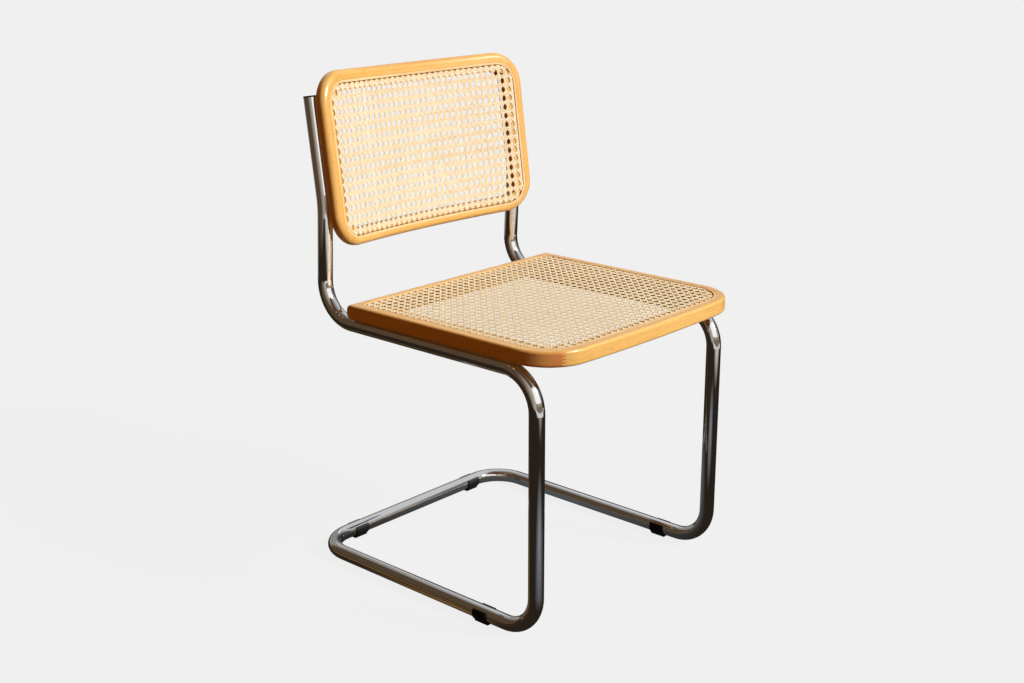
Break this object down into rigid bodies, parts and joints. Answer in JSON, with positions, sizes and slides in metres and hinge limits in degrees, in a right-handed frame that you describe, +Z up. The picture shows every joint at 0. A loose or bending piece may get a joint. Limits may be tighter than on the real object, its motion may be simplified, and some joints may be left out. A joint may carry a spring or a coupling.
{
  "type": "cantilever dining chair",
  "caption": "Cantilever dining chair: one bent chromed steel tube carries a caned beech seat and a caned, curved beech back.",
  "frame": {"origin": "on the floor, under the middle of the chair's overall box", "axes": "+Z up; the sitter faces -Y; +X is to the right when looking at the chair's front"},
  "size_m": [0.476, 0.5468, 0.8102],
  "materials": {
    "chrome": "polished chrome plate",
    "beech": "clear satin lacquer over straight beech grain",
    "cane": "natural woven cane, slight sheen",
    "reed": "natural reed spline",
    "black_plastic": "matte black",
    "screw_steel": "bright zinc"
  },
  "bodies": {
    "root": {"frame_tube": "chrome", "left_tube_cap": "black_plastic", "right_tube_cap": "black_plastic", "front_left_glide": "black_plastic", "front_right_glide": "black_plastic", "rear_left_glide": "black_plastic", "rear_right_glide": "black_plastic", "seat_front_rail": "beech", "seat_rear_rail": "beech", "seat_left_rail": "beech", "seat_right_rail": "beech", "back_top_rail": "beech", "back_bottom_rail": "beech", "back_left_stile": "beech", "back_right_stile": "beech", "seat_cane": "cane", "back_cane": "cane", "seat_spline": "reed", "back_spline": "reed", "seat_screws": "screw_steel", "back_screws": "screw_steel"}
  },
  "joints": []
}
